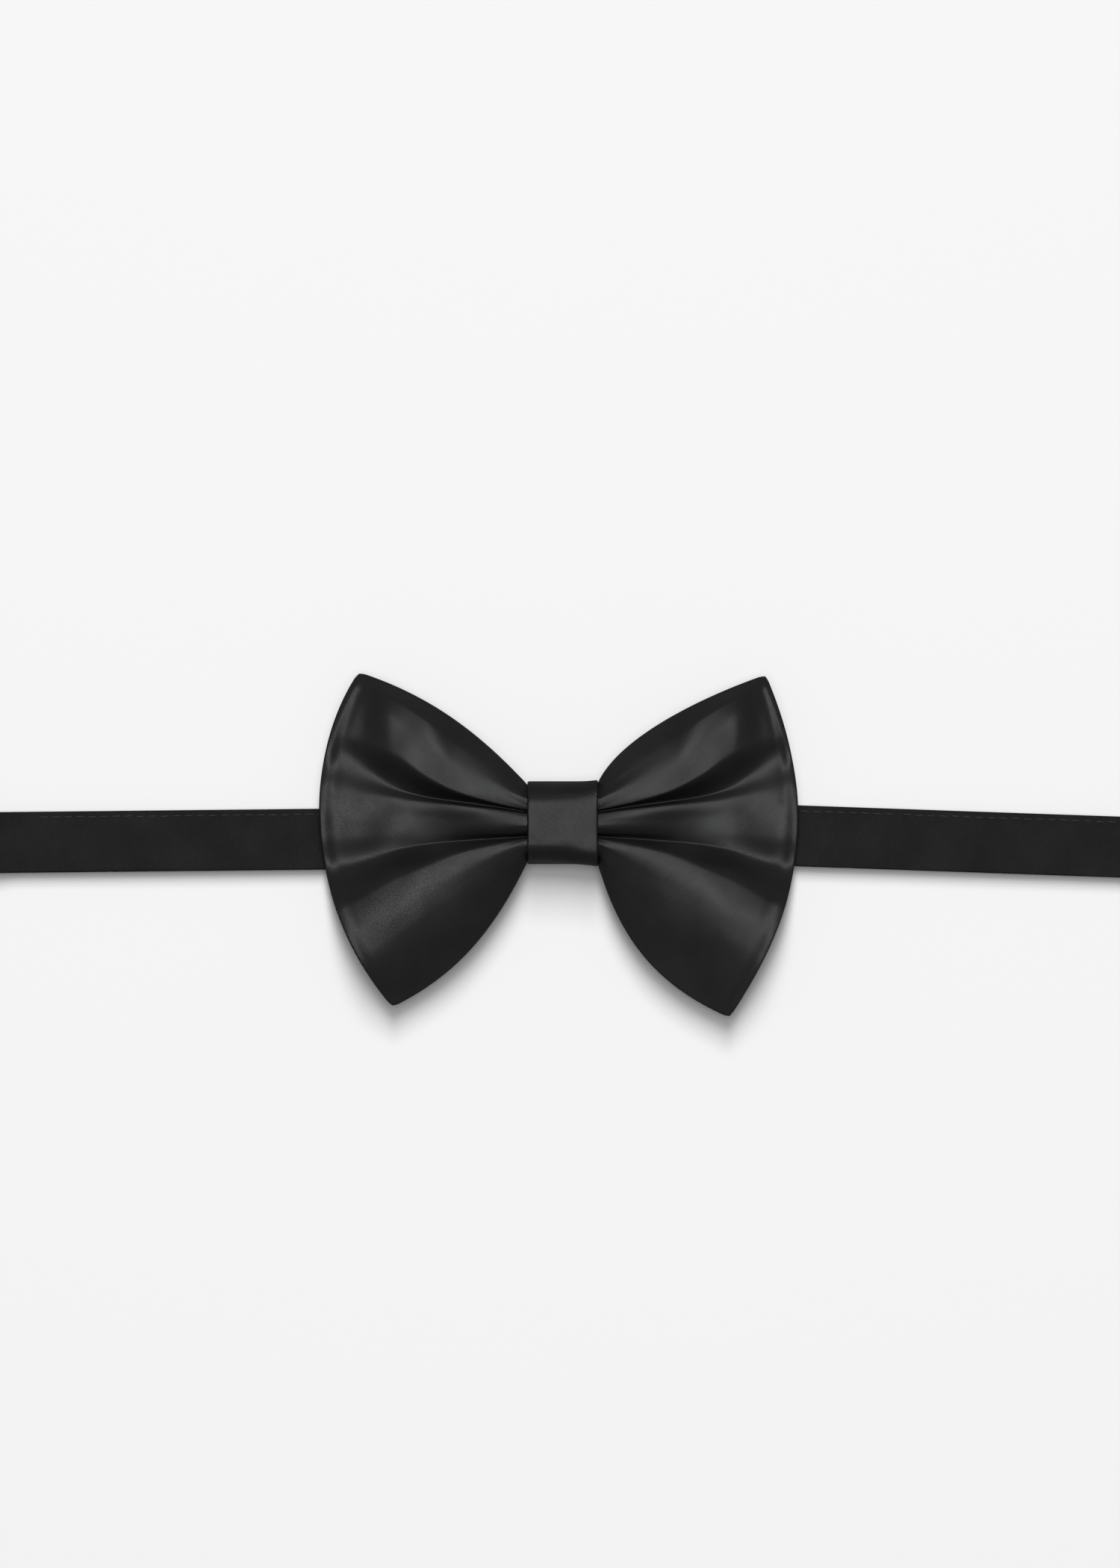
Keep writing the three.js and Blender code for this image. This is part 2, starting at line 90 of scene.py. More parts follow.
# The neck band: middle line from the bow's middle outwards, as in the CAD pieces.
BAND_HALF = 7.6
BAND_THICK = 0.8
KNOT_BAND_Y = -0.9
KNOT_BAND_Z = 2.8
LIE = 0.4  # height of the band's middle where it lies on the surface
UPPER = 1.5  # and where it lies on another layer of band
STRAIGHT_HALF = 29
LANDING = 60
FOLD_AT = 80
FOLD_Y = {"left": -4.35, "right": -4.05}
DROOP = {"left": 0.6, "right": 2.0}
BEND_HALF = 4  # the band bends over this much each side of its fold
FOLD_START = FOLD_AT - BEND_HALF
FOLD_END = FOLD_AT + BEND_HALF
EYE_BAR = 156
SLIDER_BAR = 148
HOOK_BAR = 225
BAR_Z = 1.9
STITCH_IN = 1.4  # the row of stitches runs this far inside the band's upper edge
STITCH_START = 11  # the rows begin this far from the bow's middle
STITCH_LONG = 2.1
STITCH_PITCH = 3.0
FITTING_HALF = 9.7
WIRE = 1.6
STITCH_THREAD = 0.16  # radius of the thread in the rows of stitches
TACK_THREAD = 0.2  # and in the bar tacks
EYE_CLIMB = EYE_BAR - 22  # where the band begins to climb onto its own end beside the eye
SLIDER_IN = SLIDER_BAR - 8  # the slider's own cloth begins here
SLIDER_OUT = SLIDER_BAR + 8  # and ends here
WAVES = 0.28  # how unevenly the band lies
LOOP_WAVES = 0.15
CHANNEL = 0.12  # how far the row of stitches pulls the cloth in

# The knot's wrap.
KNOT_TALL_HALF = 10.2
WRAP_THICK = 0.9

# How the front of each wing is pleated. Every line below runs outwards from the knot: its Y and
# its height at each distance from the bow's middle.
STATIONS = (9, 17, 26, 34, 42, 50, 60)
PLEATS = (
    # the bottom lobe: its lower shoulder, its crest and the edge where it turns down
    ((-6.8, -10.6, -16.4, -21.8, -27.6, -33.4, -40.0), (10.2, 11.3, 11.8, 11.8, 11.4, 10.8, 9.8)),
    ((-5.2, -7.4, -11.0, -15.2, -20.0, -25.4, -32.0), (10.7, 11.8, 12.3, 12.3, 12.0, 11.5, 10.6)),
    ((-3.9, -5.4, -7.6, -10.9, -14.3, -19.0, -24.5), (10.5, 11.6, 12.1, 12.1, 11.7, 11.1, 10.2)),
    # the lower groove
    ((-3.5, -4.0, -4.6, -5.4, -6.8, -9.2, -11.0), (6.8, 6.1, 5.5, 5.2, 5.1, 5.0, 4.9)),
    # the middle lobe: lower shoulder, crest and upper shoulder
    ((-2.7, -2.8, -2.8, -2.6, -2.4, -3.0, -3.2), (9.8, 8.2, 6.6, 5.8, 5.7, 6.3, 6.5)),
    ((-0.4, 0.2, 0.6, 1.0, 1.8, 2.6, 4.0), (11.2, 9.6, 7.9, 6.6, 6.1, 6.7, 7.0)),
    ((2.2, 3.4, 4.4, 5.2, 6.0, 7.0, 9.0), (11.4, 10.2, 9.0, 7.5, 6.6, 6.5, 6.8)),
    # the upper groove
    ((2.7, 4.0, 5.2, 6.4, 8.6, 12.4, 15.2), (6.8, 6.5, 6.2, 5.9, 5.6, 5.3, 5.4)),
    # the top lobe: its folded lower edge, its crest and its upper shoulder
    ((3.2, 5.0, 7.8, 12.0, 17.5, 21.0, 23.0), (10.5, 11.5, 12.1, 12.1, 10.9, 7.9, 5.9)),
    ((5.6, 8.4, 12.6, 19.6, 26.0, 29.0, 31.0), (10.7, 11.3, 11.8, 12.4, 11.5, 8.5, 6.2)),
    ((7.8, 12.8, 18.5, 25.0, 30.0, 33.0, 35.0), (9.4, 10.0, 10.5, 11.7, 10.9, 8.2, 6.1)),
)
LOWER_GROOVE, UPPER_GROOVE = 3, 7  # their places in the table
TOP_EDGE = (7.6, 7.3, 7.1, 6.8, 6.3, 5.9, 5.6)
BOTTOM_EDGE = (7.6, 6.7, 6.0, 5.4, 4.9, 4.5, 4.2)


# ------------------------------------------------------------------ numbers and curves
def hermite(xs, ys, x):
    """A smooth curve through (xs, ys) with no overshoot. Rows are points, columns separate curves."""
    step = np.diff(xs, axis=0)
    slope = np.diff(ys, axis=0) / step
    inner = np.where(slope[1:] * slope[:-1] > 0,
                     2 * slope[1:] * slope[:-1] / (slope[1:] + slope[:-1] + 1e-12), 0)
    tangent = np.vstack([slope[:1], inner, slope[-1:]])
    k = np.clip((x[None] >= xs[1:-1]).sum(axis=0), 0, len(xs) - 2)
    pick = np.arange(x.size)
    h = step[k, pick]
    t = np.clip((x - xs[k, pick]) / h, 0, 1)
    return (
        (2 * t**3 - 3 * t**2 + 1) * ys[k, pick]
        + (t**3 - 2 * t**2 + t) * h * tangent[k, pick]
        + (-2 * t**3 + 3 * t**2) * ys[k + 1, pick]
        + (t**3 - t**2) * h * tangent[k + 1, pick]
    )


def along_stations(values, x):
    """A value given at each station, read at distances x from the bow's middle."""
    xs = np.repeat(np.array(STATIONS, float)[:, None], x.size, axis=1)
    ys = np.repeat(np.array(values, float)[:, None], x.size, axis=1)
    return hermite(xs, ys, np.clip(x, STATIONS[0], STATIONS[-1]))


def smooth(t):
    t = np.clip(t, 0, 1)
    return t * t * (3 - 2 * t)


def bezier(points, t):
    a, b, c, d = (np.array(p, float) for p in points)
    t = np.asarray(t, float)[..., None]
    s = 1 - t
    return s**3 * a + 3 * s * s * t * b + 3 * s * t * t * c + t**3 * d


def bump(x, middle, width):
    return np.exp(-(((x - middle) / width) ** 2))


def length_along(line):
    """How far along a line each of its points lies."""
    return np.concatenate([[0], np.cumsum(np.linalg.norm(np.diff(line, axis=0), axis=1))])


# ------------------------------------------------------------------ the wings' surface
def wing_curves(side):
    wing = WINGS[side]
    mouth = -KNOT_HALF if side == "left" else KNOT_HALF
    return (
        ((mouth, MOUTH_HALF), *wing["top_handles"], wing["top_tip"]),
        ((mouth, -MOUTH_HALF), *wing["bottom_handles"], wing["bottom_tip"]),
        (wing["bottom_tip"], *wing["outer_handles"], wing["top_tip"]),
    )


def wing_xy(side, u, v):
    """u runs from the knot to the outside, v from the bottom edge, -1, to the top edge, 1."""
    top, bottom, outer = wing_curves(side)
    across = ((v + 1) / 2)[..., None]
    edge = bezier(bottom, u) * (1 - across) + bezier(top, u) * across
    chord = np.array(bottom[3]) * (1 - across) + np.array(top[3]) * across
    p = edge + (bezier(outer, (v + 1) / 2) - chord) * (u**EDGE_BULGE)[..., None]
    inwards = (np.array(top[3]) + np.array(bottom[3])) / 2 - (math.copysign(8, top[3][0]), 0)
    for tip in (top[3], bottom[3]):  # blunts the two corners
        near = 1 - smooth(np.linalg.norm(p - tip, axis=-1) / BLUNT_REACH)
        way = (inwards - tip) / np.linalg.norm(inwards - tip)
        p = p + BLUNT * near[..., None] * way
    return p


def edge_y(side, x):
    """Y of the wing's top and bottom edges at distances x, carried on past the tips."""
    found = []
    for curve in wing_curves(side)[:2]:
        p = bezier(curve, np.linspace(0, 1, 60))
        out, y = np.abs(p[:, 0]), p[:, 1]
        slope = (y[-1] - y[-8]) / (out[-1] - out[-8])
        found.append(np.interp(x, np.append(out, out[-1] + 30), np.append(y, y[-1] + 30 * slope)))
    return found


def pleat_height(side, x, y):
    """Height of the pleated front over points of a wing, x counted outwards from the middle."""
    top, bottom = edge_y(side, x)
    rows = [(bottom, along_stations(BOTTOM_EDGE, x))]
    rows += [(along_stations(ys, x), along_stations(zs, x)) for ys, zs in PLEATS]
    rows += [(top, along_stations(TOP_EDGE, x))]
    ys = np.array([r[0] for r in rows])
    zs = np.array([r[1] for r in rows])
    y = np.clip(y, ys[0], ys[-1])
    low, high = LOWER_GROOVE + 1, UPPER_GROOVE + 1
    bottom_lobe = hermite(ys[: low + 1], zs[: low + 1], y)
    middle_lobe = hermite(ys[low : high + 1], zs[low : high + 1], y)
    top_lobe = hermite(ys[high:], zs[high:], y)
    creased = np.where(y < ys[low], bottom_lobe, np.where(y < ys[high], middle_lobe, top_lobe))
    crisp = 1 - smooth((x - 28) / 18)  # the grooves are creases near the knot and soften outwards
    return creased * crisp + hermite(ys, zs, y) * (1 - crisp)


def cloth_grain(x, y, seed):
    """Broad unevenness that stiffened satin keeps, and fine gathers that fan out of the knot."""
    soft = np.array([
        noise.noise(Vector((px / 13, py / 13, seed))) * 0.22
        + noise.noise(Vector((px / 5, py / 5, seed + 9))) * 0.05
        for px, py in zip(x, y)
    ])
    turn = np.arctan2(y, x)
    fan = np.sin(turn * 31 + seed) + 0.6 * np.sin(turn * 53 + 2 * seed)
    return soft * smooth((x - 9) / 12) + 0.03 * fan * np.exp(-(x - KNOT_HALF) / 8)


def groove_rows(side, u, rows, end):
    """v of each row of points at u, so spaced that one row runs along each of the two grooves."""
    v = np.linspace(-1, 1, 300)
    p = wing_xy(side, np.full(v.size, u), v)
    grooves = [
        np.interp(0, p[:, 1] - along_stations(PLEATS[k][0], np.abs(p[:, 0])), v)
        for k in (LOWER_GROOVE, UPPER_GROOVE)
    ]
    return np.interp(np.linspace(-1, 1, rows), (-1, -0.2, 0.2, 1), (-end, *grooves, end))


def bow_points(columns, rows, height, inset):
    """Points of one layer of the bow, from the left wing's outside to the right wing's."""
    t = np.linspace(0, 1, columns)
    out = 1 - (1 - t) ** 1.25
    strips = []
    for side in ("left", "right"):
        u = np.repeat((out * (1 - inset / WING_LONG))[:, None], rows, axis=1)
        ends = 1 - inset / (MOUTH_HALF + WING_FLARE * u[:, 0])
        v = np.array([groove_rows(side, column, rows, end) for column, end in zip(u[:, 0], ends)])
        p = wing_xy(side, u, v)
        x, y = np.abs(p[..., 0]).ravel(), p[..., 1].ravel()
        z = height(side, x, y, u.ravel(), v.ravel())
        strips.append(np.dstack([p, z.reshape(u.shape)]))
    left, right = strips[0][::-1], strips[1]
    middle = []
    for share in (0.25, 0.5, 0.75):
        ring = left[-1] * (1 - share) + right[0] * share
        squeeze = WAIST_HALF / MOUTH_HALF
        ring[:, 1] *= squeeze
        middle.append(ring)
    return np.concatenate([left, np.array(middle), right])


# ------------------------------------------------------------------ building meshes
def make_object(name, points, faces, uvs=None):
    """A smooth-shaded mesh from points in millimetres, and a UV for each point."""
    mesh = bpy.data.meshes.new(name)
    mesh.from_pydata([tuple(p) for p in np.asarray(points, float) * MM], [], faces)
    if uvs is not None:
        layer = mesh.uv_layers.new(name="cloth")
        corners = np.zeros(len(mesh.loops), np.int64)
        mesh.loops.foreach_get("vertex_index", corners)
        layer.data.foreach_set("uv", np.asarray(uvs, np.float32)[corners].ravel())
    mesh.polygons.foreach_set("use_smooth", [True] * len(mesh.polygons))
    mesh.update()
    obj = bpy.data.objects.new(name, mesh)
    bpy.context.scene.collection.objects.link(obj)
    return obj


def apply_modifiers(obj):
    """Replaces the object's mesh with its evaluated one."""
    bpy.context.view_layer.update()
    evaluated = obj.evaluated_get(bpy.context.evaluated_depsgraph_get())
    mesh = bpy.data.meshes.new_from_object(evaluated)
    obj.modifiers.clear()
    obj.data = mesh


def solidify(obj, thick):
    shell = obj.modifiers.new("thickness", "SOLIDIFY")
    shell.thickness = thick * MM
    shell.offset = -1
    apply_modifiers(obj)


def rolled_sheet(name, grid, reach, depth, steps, sweep):
    """A grid of points whose whole edge curls over, down or, at a negative depth, up.

    The curl reaches out and down by reach and depth, and turns through sweep degrees.
    """
    columns, rows = grid.shape[:2]
    at = np.arange(columns * rows).reshape(columns, rows)
    faces = [
        (at[i, j], at[i + 1, j], at[i + 1, j + 1], at[i, j + 1])
        for i in range(columns - 1)
        for j in range(rows - 1)
    ]
    loop = list(at[:, 0]) + list(at[-1, 1:]) + list(at[-2::-1, -1]) + list(at[0, -2:0:-1])
    flat = grid.reshape(-1, 3)
    steps_along = np.linalg.norm(np.diff(grid, axis=1), axis=2)
    run = np.concatenate([np.zeros((columns, 1)), np.cumsum(steps_along, axis=1)], axis=1)
    run -= run[:, rows // 2][:, None]
    uv = np.column_stack([np.abs(flat[:, 0]), run.ravel()])
    edge = flat[loop]
    forward = np.roll(edge, -2, axis=0) - np.roll(edge, 2, axis=0)
    out = np.column_stack([forward[:, 1], -forward[:, 0], np.zeros(len(edge))])
    out /= np.linalg.norm(out, axis=1)[:, None]
    points, uvs, ring = [flat], [uv], loop
    for k in range(1, steps + 1):
        angle = math.radians(sweep) * k / steps
        move = out * reach * math.sin(angle)
        move[:, 2] -= depth * (1 - math.cos(angle))
        points.append(edge + move)
        uvs.append(uv[loop] + out[:, :2] * reach * angle)
        fresh = list(range(len(flat) + (k - 1) * len(loop), len(flat) + k * len(loop)))
        for i, a in enumerate(ring):
            n = (i + 1) % len(ring)
            faces.append((a, fresh[i], fresh[n], ring[n]))
        ring = fresh
    return make_object(name, np.concatenate(points), faces, np.concatenate(uvs))


def tube_faces(rings, size):
    """Faces of a tube with both ends closed, whose points come ring by ring."""
    faces = []
    for i in range(rings - 1):
        a, b = i * size, (i + 1) * size
        for j in range(size):
            k = (j + 1) % size
            faces.append((a + j, b + j, b + k, a + k))
    faces.append(tuple(range(size)))
    faces.append(tuple(reversed(range((rings - 1) * size, rings * size))))
    return faces


# ------------------------------------------------------------------ materials
def shader(name):
    material = bpy.data.materials.new(name)
    material.use_nodes = True
    tree = material.node_tree
    return material, tree, tree.nodes["Principled BSDF"]


def add_node(tree, kind, **values):
    node = tree.nodes.new(kind)
    for key, value in values.items():
        setattr(node, key, value)
    return node


def calc(tree, operation, a, b=None):
    """A math node; a and b are sockets or numbers."""
    node = add_node(tree, "ShaderNodeMath", operation=operation)
    for i, value in enumerate((a, b)):
        if value is None:
            continue
        if isinstance(value, (int, float)):
            node.inputs[i].default_value = value
        else:
            tree.links.new(value, node.inputs[i])
    return node.outputs[0]


def noise_at(tree, place, scale, detail=2.0):
    node = add_node(tree, "ShaderNodeTexNoise")
    node.inputs["Scale"].default_value = scale
    node.inputs["Detail"].default_value = detail
    tree.links.new(place, node.inputs["Vector"])
    return node.outputs[0]


def spread(tree, value, low, high, to_low, to_high):
    node = add_node(tree, "ShaderNodeMapRange")
    tree.links.new(value, node.inputs["Value"])
    for key, number in (("From Min", low), ("From Max", high), ("To Min", to_low), ("To Max", to_high)):
        node.inputs[key].default_value = number
    return node.outputs[0]


def roughen(tree, surface, height, strength, distance):
    """Bumps on the surface, from a height and the size in metres that a height of 1 stands for."""
    bumps = add_node(tree, "ShaderNodeBump")
    bumps.inputs["Strength"].default_value = strength
    bumps.inputs["Distance"].default_value = distance
    tree.links.new(height, bumps.inputs["Height"])
    tree.links.new(bumps.outputs[0], surface.inputs["Normal"])


def two_tone(tree, surface, share, first, second):
    """Colours the surface from the first colour to the second as share goes from 0 to 1."""
    tone = add_node(tree, "ShaderNodeMix", data_type="RGBA")
    tree.links.new(share, tone.inputs["Factor"])
    tone.inputs["A"].default_value = (*first, 1)
    tone.inputs["B"].default_value = (*second, 1)
    tree.links.new(tone.outputs["Result"], surface.inputs["Base Color"])


def grey(level):
    return (level, level, level)


def satin(name, dark, light, roughness, pitch, relief, shine):
    """Black satin: fine diagonal ribs of floating threads, laid out in cloth millimetres."""
    material, tree, surface = shader(name)
    uv = add_node(tree, "ShaderNodeUVMap", uv_map="cloth").outputs[0]
    parts = add_node(tree, "ShaderNodeSeparateXYZ")
    tree.links.new(uv, parts.inputs[0])
    turn = math.radians(50)
    across = calc(tree, "SUBTRACT", calc(tree, "MULTIPLY", parts.outputs[0], math.sin(turn)),
                  calc(tree, "MULTIPLY", parts.outputs[1], math.cos(turn)))
    along = calc(tree, "ADD", calc(tree, "MULTIPLY", parts.outputs[0], math.cos(turn)),
                 calc(tree, "MULTIPLY", parts.outputs[1], math.sin(turn)))
    drift = calc(tree, "MULTIPLY", noise_at(tree, uv, 0.35), 0.9)
    rib = calc(tree, "SINE", calc(tree, "ADD", calc(tree, "MULTIPLY", across, math.tau / pitch), drift))
    lay = add_node(tree, "ShaderNodeCombineXYZ")
    tree.links.new(calc(tree, "MULTIPLY", across, 1.6 / pitch), lay.inputs[0])
    tree.links.new(calc(tree, "MULTIPLY", along, 0.5 / pitch), lay.inputs[1])
    floats = noise_at(tree, lay.outputs[0], 1.0, 1.0)
    fuzz = noise_at(tree, uv, 5.0, 3.0)
    loose = calc(tree, "ADD", calc(tree, "MULTIPLY", floats, 0.8), calc(tree, "MULTIPLY", fuzz, 0.4))
    height = calc(tree, "ADD", calc(tree, "MULTIPLY", rib, 0.8), loose)
    roughen(tree, surface, height, relief, 0.00006)
    mottle = spread(tree, noise_at(tree, uv, 0.09, 2.0), 0.35, 0.65, 0, 0.25)
    shade = calc(tree, "ADD", spread(tree, height, -0.2, 1.6, 0, 0.75), mottle)
    two_tone(tree, surface, shade, (dark, dark, dark * 1.01), (light, light, light * 1.01))
    worn = spread(tree, noise_at(tree, uv, 0.12, 3.0), 0.3, 0.7, roughness - 0.04, roughness + 0.04)
    tree.links.new(worn, surface.inputs["Roughness"])
    surface.inputs["Specular IOR Level"].default_value = shine
    return material


def felt(name, base):
    """Matt non-woven backing."""
    material, tree, surface = shader(name)
    place = add_node(tree, "ShaderNodeTexCoord").outputs["Object"]
    fibres = noise_at(tree, place, 1800.0, 5.0)
    two_tone(tree, surface, fibres, grey(base * 0.5), grey(base * 1.5))
    roughen(tree, surface, fibres, 0.5, 0.0001)
    surface.inputs["Roughness"].default_value = 0.95
    return material


def twisted_thread(name, base):
    """Sewing thread, with the fine slanting lines of its twist."""
    material, tree, surface = shader(name)
    place = add_node(tree, "ShaderNodeTexCoord").outputs["Object"]
    twist = add_node(tree, "ShaderNodeTexWave", bands_direction="DIAGONAL")
    twist.inputs["Scale"].default_value = 1500.0
    twist.inputs["Distortion"].default_value = 1.0
    tree.links.new(place, twist.inputs["Vector"])
    two_tone(tree, surface, twist.outputs[1], grey(base * 0.6), grey(base * 1.4))
    roughen(tree, surface, twist.outputs[1], 0.4, 0.00005)
    surface.inputs["Roughness"].default_value = 0.5
    return material


def plated(name):
    """Bright nickel plate with hairline scratches and handling haze."""
    material, tree, surface = shader(name)
    place = add_node(tree, "ShaderNodeTexCoord").outputs["Object"]
    stretch = add_node(tree, "ShaderNodeMapping")
    stretch.inputs["Scale"].default_value = (300.0, 6000.0, 3000.0)
    tree.links.new(place, stretch.inputs["Vector"])
    scratches = noise_at(tree, stretch.outputs[0], 1.0, 2.0)
    haze = noise_at(tree, place, 220.0, 4.0)
    tree.links.new(spread(tree, haze, 0.3, 0.7, 0.17, 0.3), surface.inputs["Roughness"])
    two_tone(tree, surface, haze, (0.68, 0.67, 0.65), (0.76, 0.75, 0.73))
    roughen(tree, surface, scratches, 0.12, 0.00003)
    surface.inputs["Metallic"].default_value = 1.0
    return material


# Each satin: its dark and light grey, roughness, the ribs' pitch in mm, their relief, and its shine.
BOW_SATIN = satin("bow satin", 0.005, 0.015, 0.36, 0.45, 0.42, 0.64)
KNOT_SATIN = satin("knot satin", 0.003, 0.011, 0.36, 0.47, 0.5, 0.68)
BAND_SATIN = satin("band satin", 0.005, 0.016, 0.46, 0.47, 0.7, 0.2)
BACKING = felt("backing felt", 0.045)
THREAD = twisted_thread("black thread", 0.03)
NICKEL = plated("nickel plate")


def dress(obj, material, body=None, nodes=()):
    """Gives a piece its material, the body that it rides and the CAD nodes it stands for."""
    obj.data.materials.clear()
    obj.data.materials.append(material)
    if body:
        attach(obj, body)
    if nodes:
        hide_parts(*nodes)


# ------------------------------------------------------------------ the bow's three layers
SEEDS = {"left": 3.0, "right": 11.0}


def corner_shape(x, y):
    """A pressed-in spot below each top corner, and the lift of each bottom corner."""
    return -0.5 * bump(x, 54, 4.0) * bump(y, 17.5, 4.0) + 1.2 * bump(x, 43, 9) * bump(y, -50, 8)


# Heights of the three layers. Each takes the wing's side, the distance from the bow's middle, Y and
# the place on the wing, u and v, because bow_points calls all three alike.
def front_height(side, x, y, u, v):
    """The pleats, with a seam's ridge and dip along the outer edge and sharp creases in the grooves."""
    rim = (1 - u) * WING_LONG
    seam = 0.16 * bump(rim, 1.1, 0.7) - 0.12 * bump(rim, 2.6, 0.9)
    inner = 1 - smooth((x - 26) / 20)  # the creases fade out between 26 and 46 mm
    upper = along_stations(PLEATS[UPPER_GROOVE][0], x)
    lower = along_stations(PLEATS[LOWER_GROOVE][0], x)
    creases = -0.4 * inner * (np.exp(-np.abs(y - upper) / 0.8) + np.exp(-np.abs(y - lower) / 0.8))
    return pleat_height(side, x, y) + cloth_grain(x, y, SEEDS[side]) + seam + corner_shape(x, y) + creases


def lining_height(side, x, y, u, v):
    return front_height(side, x, y, u, v) - LINING_DROP


def back_height(side, x, y, u, v):
    """The back tucks into the front's turned edge, and further in follows its pleats less closely."""
    top, bottom = edge_y(side, x)
    share = np.clip((y - bottom) / (top - bottom), 0, 1)
    low = along_stations(BOTTOM_EDGE, x) * (1 - share) + along_stations(TOP_EDGE, x) * share
    pleats = pleat_height(side, x, y)
    from_outside = (1 - u) * WING_LONG
    from_sides = (1 - np.abs(v)) * (MOUTH_HALF + WING_FLARE * u)
    inside = smooth(np.minimum(from_outside, from_sides) / BACK_REACH)
    slack = np.maximum(pleats - low, 0) * BACK_SLACK * inside
    grain = cloth_grain(x, y, SEEDS[side]) * (1 - inside) + cloth_grain(x, y, 7.0) * 0.3 * inside
    return pleats - slack + corner_shape(x, y) + grain - BACK_DROP - BACK_GAP * inside


bow_front = rolled_sheet(
    "bow_front", bow_points(110, 181, front_height, EDGE_ROLL[0]),
    reach=EDGE_ROLL[0], depth=EDGE_ROLL[1], steps=8, sweep=150,
)
solidify(bow_front, PANEL_THICK)
dress(bow_front, BOW_SATIN, "bow", ["bow_front_panel"])
bow_lining = rolled_sheet(
    "bow_lining", bow_points(40, 51, lining_height, LINING_INSET),
    reach=0.05, depth=0.05, steps=1, sweep=40,
)
solidify(bow_lining, LINING_THICK)
dress(bow_lining, BACKING, "bow", ["bow_interlining"])
bow_back = rolled_sheet(
    "bow_back", bow_points(70, 91, back_height, BACK_INSET),
    reach=0.2, depth=-0.2, steps=4, sweep=80,
)
solidify(bow_back, PANEL_THICK)
dress(bow_back, BOW_SATIN, "bow", ["bow_back_panel"])


# ------------------------------------------------------------------ strips of folded cloth
def arc(x, z, radius, a, b, steps=10):
    angles = np.radians(np.linspace(a, b, steps + 1))
    return [(x + radius * math.cos(t), z + radius * math.sin(t)) for t in angles]


def fine(line, step):
    """The same line with its long spans divided up."""
    points = [line[0]]
    for p, q in zip(line, line[1:]):
        count = max(1, math.ceil(math.dist(p, q) / step))
        p, q = np.array(p), np.array(q)
        points += [tuple(p + (q - p) * k / count) for k in range(1, count + 1)]
    return np.array(points, float)


def rounded(line, passes=2):
    """Takes the sharp turns out of a line without moving its ends."""
    line = np.array(line, float)
    for _ in range(passes):
        line[1:-1] = (line[:-2] + 2 * line[1:-1] + line[2:]) / 4
    return line


def line_frame(line):
    """Unit directions along and out of a line drawn in a plane."""
    forward = np.gradient(line, axis=0)
    forward /= np.linalg.norm(forward, axis=1)[:, None]
    return forward, np.column_stack([-forward[:, 1], forward[:, 0]])


def strip_section(half, thick, steps=22):
    """A flat strip's section with rounded folds, as (across, out), once round from its lower left."""
    edge = thick / 2
    flat = np.linspace(-half + edge, half - edge, steps + 1)
    under = [(w, -edge) for w in flat]
    turns = np.linspace(0, math.pi, 7)[1:-1]
    right = [(half - edge + edge * math.sin(t), -edge * math.cos(t)) for t in turns]
    upper = [(w, edge) for w in flat[::-1]]
    left = [(-half + edge - edge * math.sin(t), edge * math.cos(t)) for t in turns]
    return np.array(under + right + upper + left)


def place_on_band(side, along, across, height):
    """World millimetres of points given along and across one side of the band."""
    sign = -1 if side == "left" else 1
    droop = math.radians(DROOP[side])
    away = smooth((along - STRAIGHT_HALF) / (LANDING - STRAIGHT_HALF))
    line = FOLD_Y[side] - math.sin(droop) * (along - FOLD_AT)
    x = sign * (FOLD_AT + math.cos(droop) * (along - FOLD_AT)) * away + sign * along * (1 - away)
    y = KNOT_BAND_Y * (1 - away) + line * away
    lean = droop * away
    return np.column_stack([x + sign * np.sin(lean) * across, y + np.cos(lean) * across, height])


def strip(name, side, line, waves=0.0, channel=0.0):
    """A piece of neck band along a line of (distance from the bow's middle, height)."""
    forward, out = line_frame(line)
    section = strip_section(BAND_HALF, BAND_THICK)
    run = length_along(line) + line[0, 0]
    round_section = length_along(section)
    points, uvs = [], []
    sign = -1 if side == "left" else 1
    facing = np.sign(forward[:, 0].sum()) or 1
    for (d, h), n, length in zip(line, out, run):
        across = section[:, 0]
        lift = section[:, 1].copy()
        upper = lift * facing > 0
        swell = np.array([noise.noise(Vector((length / 16, w / 14, FOLD_Y[side]))) for w in across])
        swell += 0.35 * np.array([noise.noise(Vector((length / 5, w / 6, 5))) for w in across])
        lift += waves * swell * (1 - (across / BAND_HALF) ** 6)
        lift[upper] -= facing * channel * bump(across[upper], BAND_HALF - STITCH_IN, 0.45)
        placed = place_on_band(side, d + n[0] * lift, across, h + n[1] * lift)
        points.append(placed)
        turned = np.where(section[:, 1] > 0, round_section[len(section) // 2] - round_section, round_section)
        uvs.append(np.column_stack([np.full(len(section), sign * length), turned]))
    faces = tube_faces(len(line), len(section))
    obj = make_object(name, np.concatenate(points), faces, np.concatenate(uvs))
    outwards(obj)
    return obj


def outwards(obj):
    """Turns a closed mesh's faces outwards."""
    mesh = bmesh.new()
    mesh.from_mesh(obj.data)
    bmesh.ops.recalc_face_normals(mesh, faces=mesh.faces)
    mesh.to_mesh(obj.data)
    mesh.free()
    obj.data.set_sharp_from_angle(angle=math.radians(60))


def fold_round(x):
    """The band climbs over its own end, turns round a bar at x and comes back underneath."""
    climb = [(x - 12, UPPER), (x - 8, UPPER + 0.15 * BAR_Z), (x - 3, UPPER + 0.85 * BAR_Z)]
    return [*climb, *arc(x, BAR_Z, UPPER, 90, -90)]


